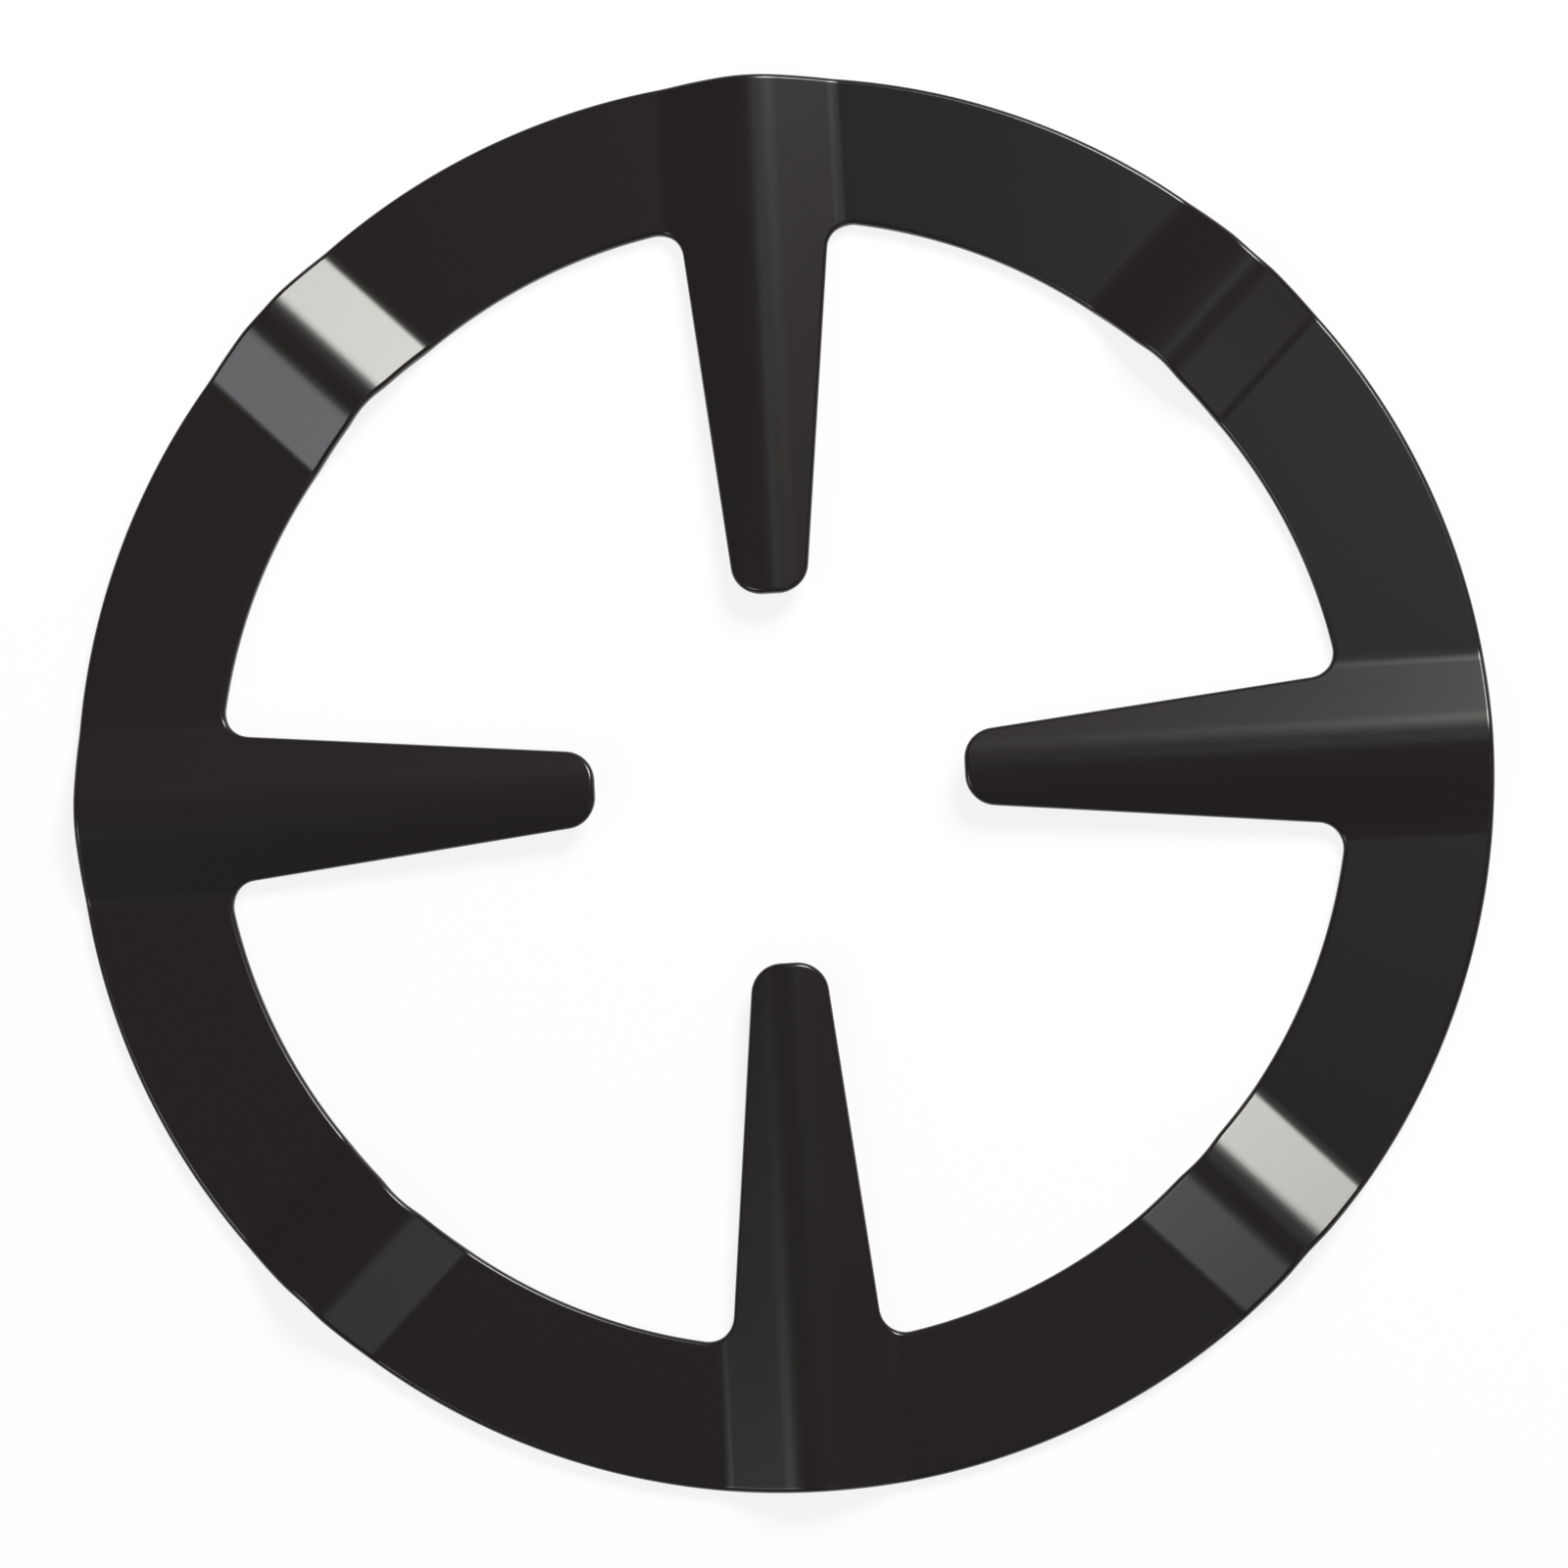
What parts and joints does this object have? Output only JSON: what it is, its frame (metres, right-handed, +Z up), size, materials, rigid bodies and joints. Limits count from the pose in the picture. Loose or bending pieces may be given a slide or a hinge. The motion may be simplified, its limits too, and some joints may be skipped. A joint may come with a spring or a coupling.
{
  "type": "stove reducer ring",
  "caption": "Flat enamelled steel ring with fingers that point at its centre and raised stiffening bends, laid on a burner's pan support so that a small pot can stand over the flame.",
  "frame": {"origin": "centre of the ring, on the plane of its flat underside", "axes": "+Z up from the underside towards the crests of the bends, +X and +Y along two of the fingers"},
  "size_m": [0.14, 0.14, 0.0041],
  "materials": {
    "enamel": "semi-gloss black enamel on sheet steel, scratched and chipped from use"
  },
  "bodies": {
    "root": {"reducer_ring": "enamel"}
  },
  "joints": []
}
